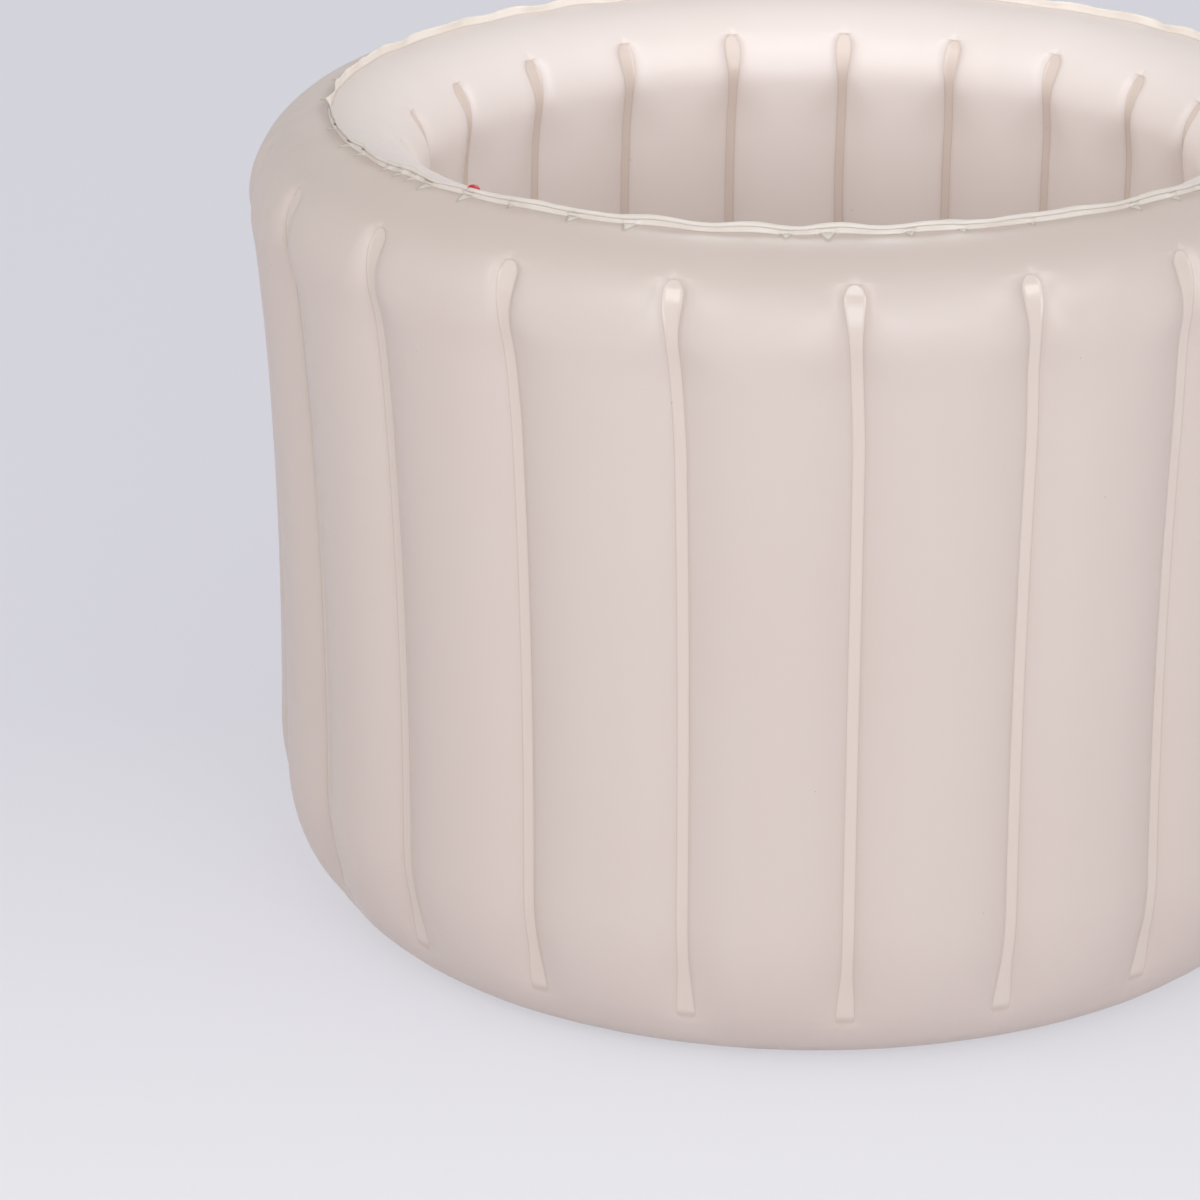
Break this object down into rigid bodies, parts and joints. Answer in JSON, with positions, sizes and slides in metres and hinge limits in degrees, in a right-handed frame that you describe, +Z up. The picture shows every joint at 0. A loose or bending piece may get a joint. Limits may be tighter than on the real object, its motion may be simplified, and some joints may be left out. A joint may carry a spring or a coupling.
{
  "type": "inflatable bathtub",
  "caption": "Tall round inflatable bathtub with a double wall of upright air channels, an air floor, push-in air valves and a floor drain.",
  "frame": {"origin": "centre of the underside, on the ground", "axes": "+Z up; the picture's camera looks at the tub from the -Y side, with +X to the right"},
  "size_m": [0.8022, 0.8041, 0.596],
  "materials": {
    "wall_vinyl": "satin soft vinyl film, warm pinkish beige",
    "inner_vinyl": "satin soft vinyl film, warm pinkish beige",
    "web_vinyl": "soft vinyl film",
    "clear_vinyl": "glossy translucent soft vinyl moulding",
    "plug_red": "satin red soft plastic moulding"
  },
  "bodies": {
    "tub": {"outer_skin": "wall_vinyl", "inner_skin": "inner_vinyl", "floor_sheet": "inner_vinyl", "floor_centre_sheet": "inner_vinyl", "base_sheet": "wall_vinyl", "drain_seat": "clear_vinyl", "wall_valve_flange": "clear_vinyl", "floor_valve_flange": "clear_vinyl", "baffle_strip_01": "web_vinyl", "baffle_strip_02": "web_vinyl", "baffle_strip_03": "web_vinyl", "baffle_strip_04": "web_vinyl", "baffle_strip_05": "web_vinyl", "baffle_strip_06": "web_vinyl", "baffle_strip_07": "web_vinyl", "baffle_strip_08": "web_vinyl", "baffle_strip_09": "web_vinyl", "baffle_strip_10": "web_vinyl", "baffle_strip_11": "web_vinyl", "baffle_strip_12": "web_vinyl", "baffle_strip_13": "web_vinyl", "baffle_strip_14": "web_vinyl", "baffle_strip_15": "web_vinyl", "baffle_strip_16": "web_vinyl", "baffle_strip_17": "web_vinyl", "baffle_strip_18": "web_vinyl", "baffle_strip_19": "web_vinyl", "baffle_strip_20": "web_vinyl", "baffle_strip_21": "web_vinyl"},
    "wall_valve_stem": {"wall_valve_neck": "clear_vinyl"},
    "wall_valve_stopper": {"wall_valve_plug": "plug_red"},
    "wall_valve_flap": {"wall_valve_flap": "clear_vinyl"},
    "floor_valve_stem": {"floor_valve_neck": "clear_vinyl"},
    "floor_valve_stopper": {"floor_valve_plug": "plug_red"},
    "floor_valve_flap": {"floor_valve_flap": "clear_vinyl"},
    "drain_stopper": {"drain_plug": "plug_red"}
  },
  "joints": [
    {"name": "wall_valve_lift", "type": "slide", "parent": "tub", "child": "wall_valve_stem", "axis": [0.1564, 0.2245, 0.9618], "range_m": [0, 0.011]},
    {"name": "wall_valve_plug_pull", "type": "slide", "parent": "wall_valve_stem", "child": "wall_valve_stopper", "axis": [0.1564, 0.2245, 0.9618], "range_m": [0, 0.014]},
    {"name": "wall_valve_flap_swing", "type": "hinge", "parent": "wall_valve_stem", "child": "wall_valve_flap", "pos_m": [-0.2229, -0.23871, 0.57096], "axis": [0.0179, -0.9743, 0.2245], "range_deg": [0, 60], "stiffness_Nm_per_rad": 0.0002},
    {"name": "floor_valve_lift", "type": "slide", "parent": "tub", "child": "floor_valve_stem", "axis": [0, 0, 1], "range_m": [0, 0.011]},
    {"name": "floor_valve_plug_pull", "type": "slide", "parent": "floor_valve_stem", "child": "floor_valve_stopper", "axis": [0, 0, 1], "range_m": [0, 0.014]},
    {"name": "floor_valve_flap_swing", "type": "hinge", "parent": "floor_valve_stem", "child": "floor_valve_flap", "pos_m": [0.1015, 0.20349, 0.04491], "axis": [0, -1, 0], "range_deg": [0, 60], "stiffness_Nm_per_rad": 0.0002},
    {"name": "drain_plug_pull", "type": "slide", "parent": "tub", "child": "drain_stopper", "axis": [0, 0, 1], "range_m": [0, 0.03]}
  ]
}
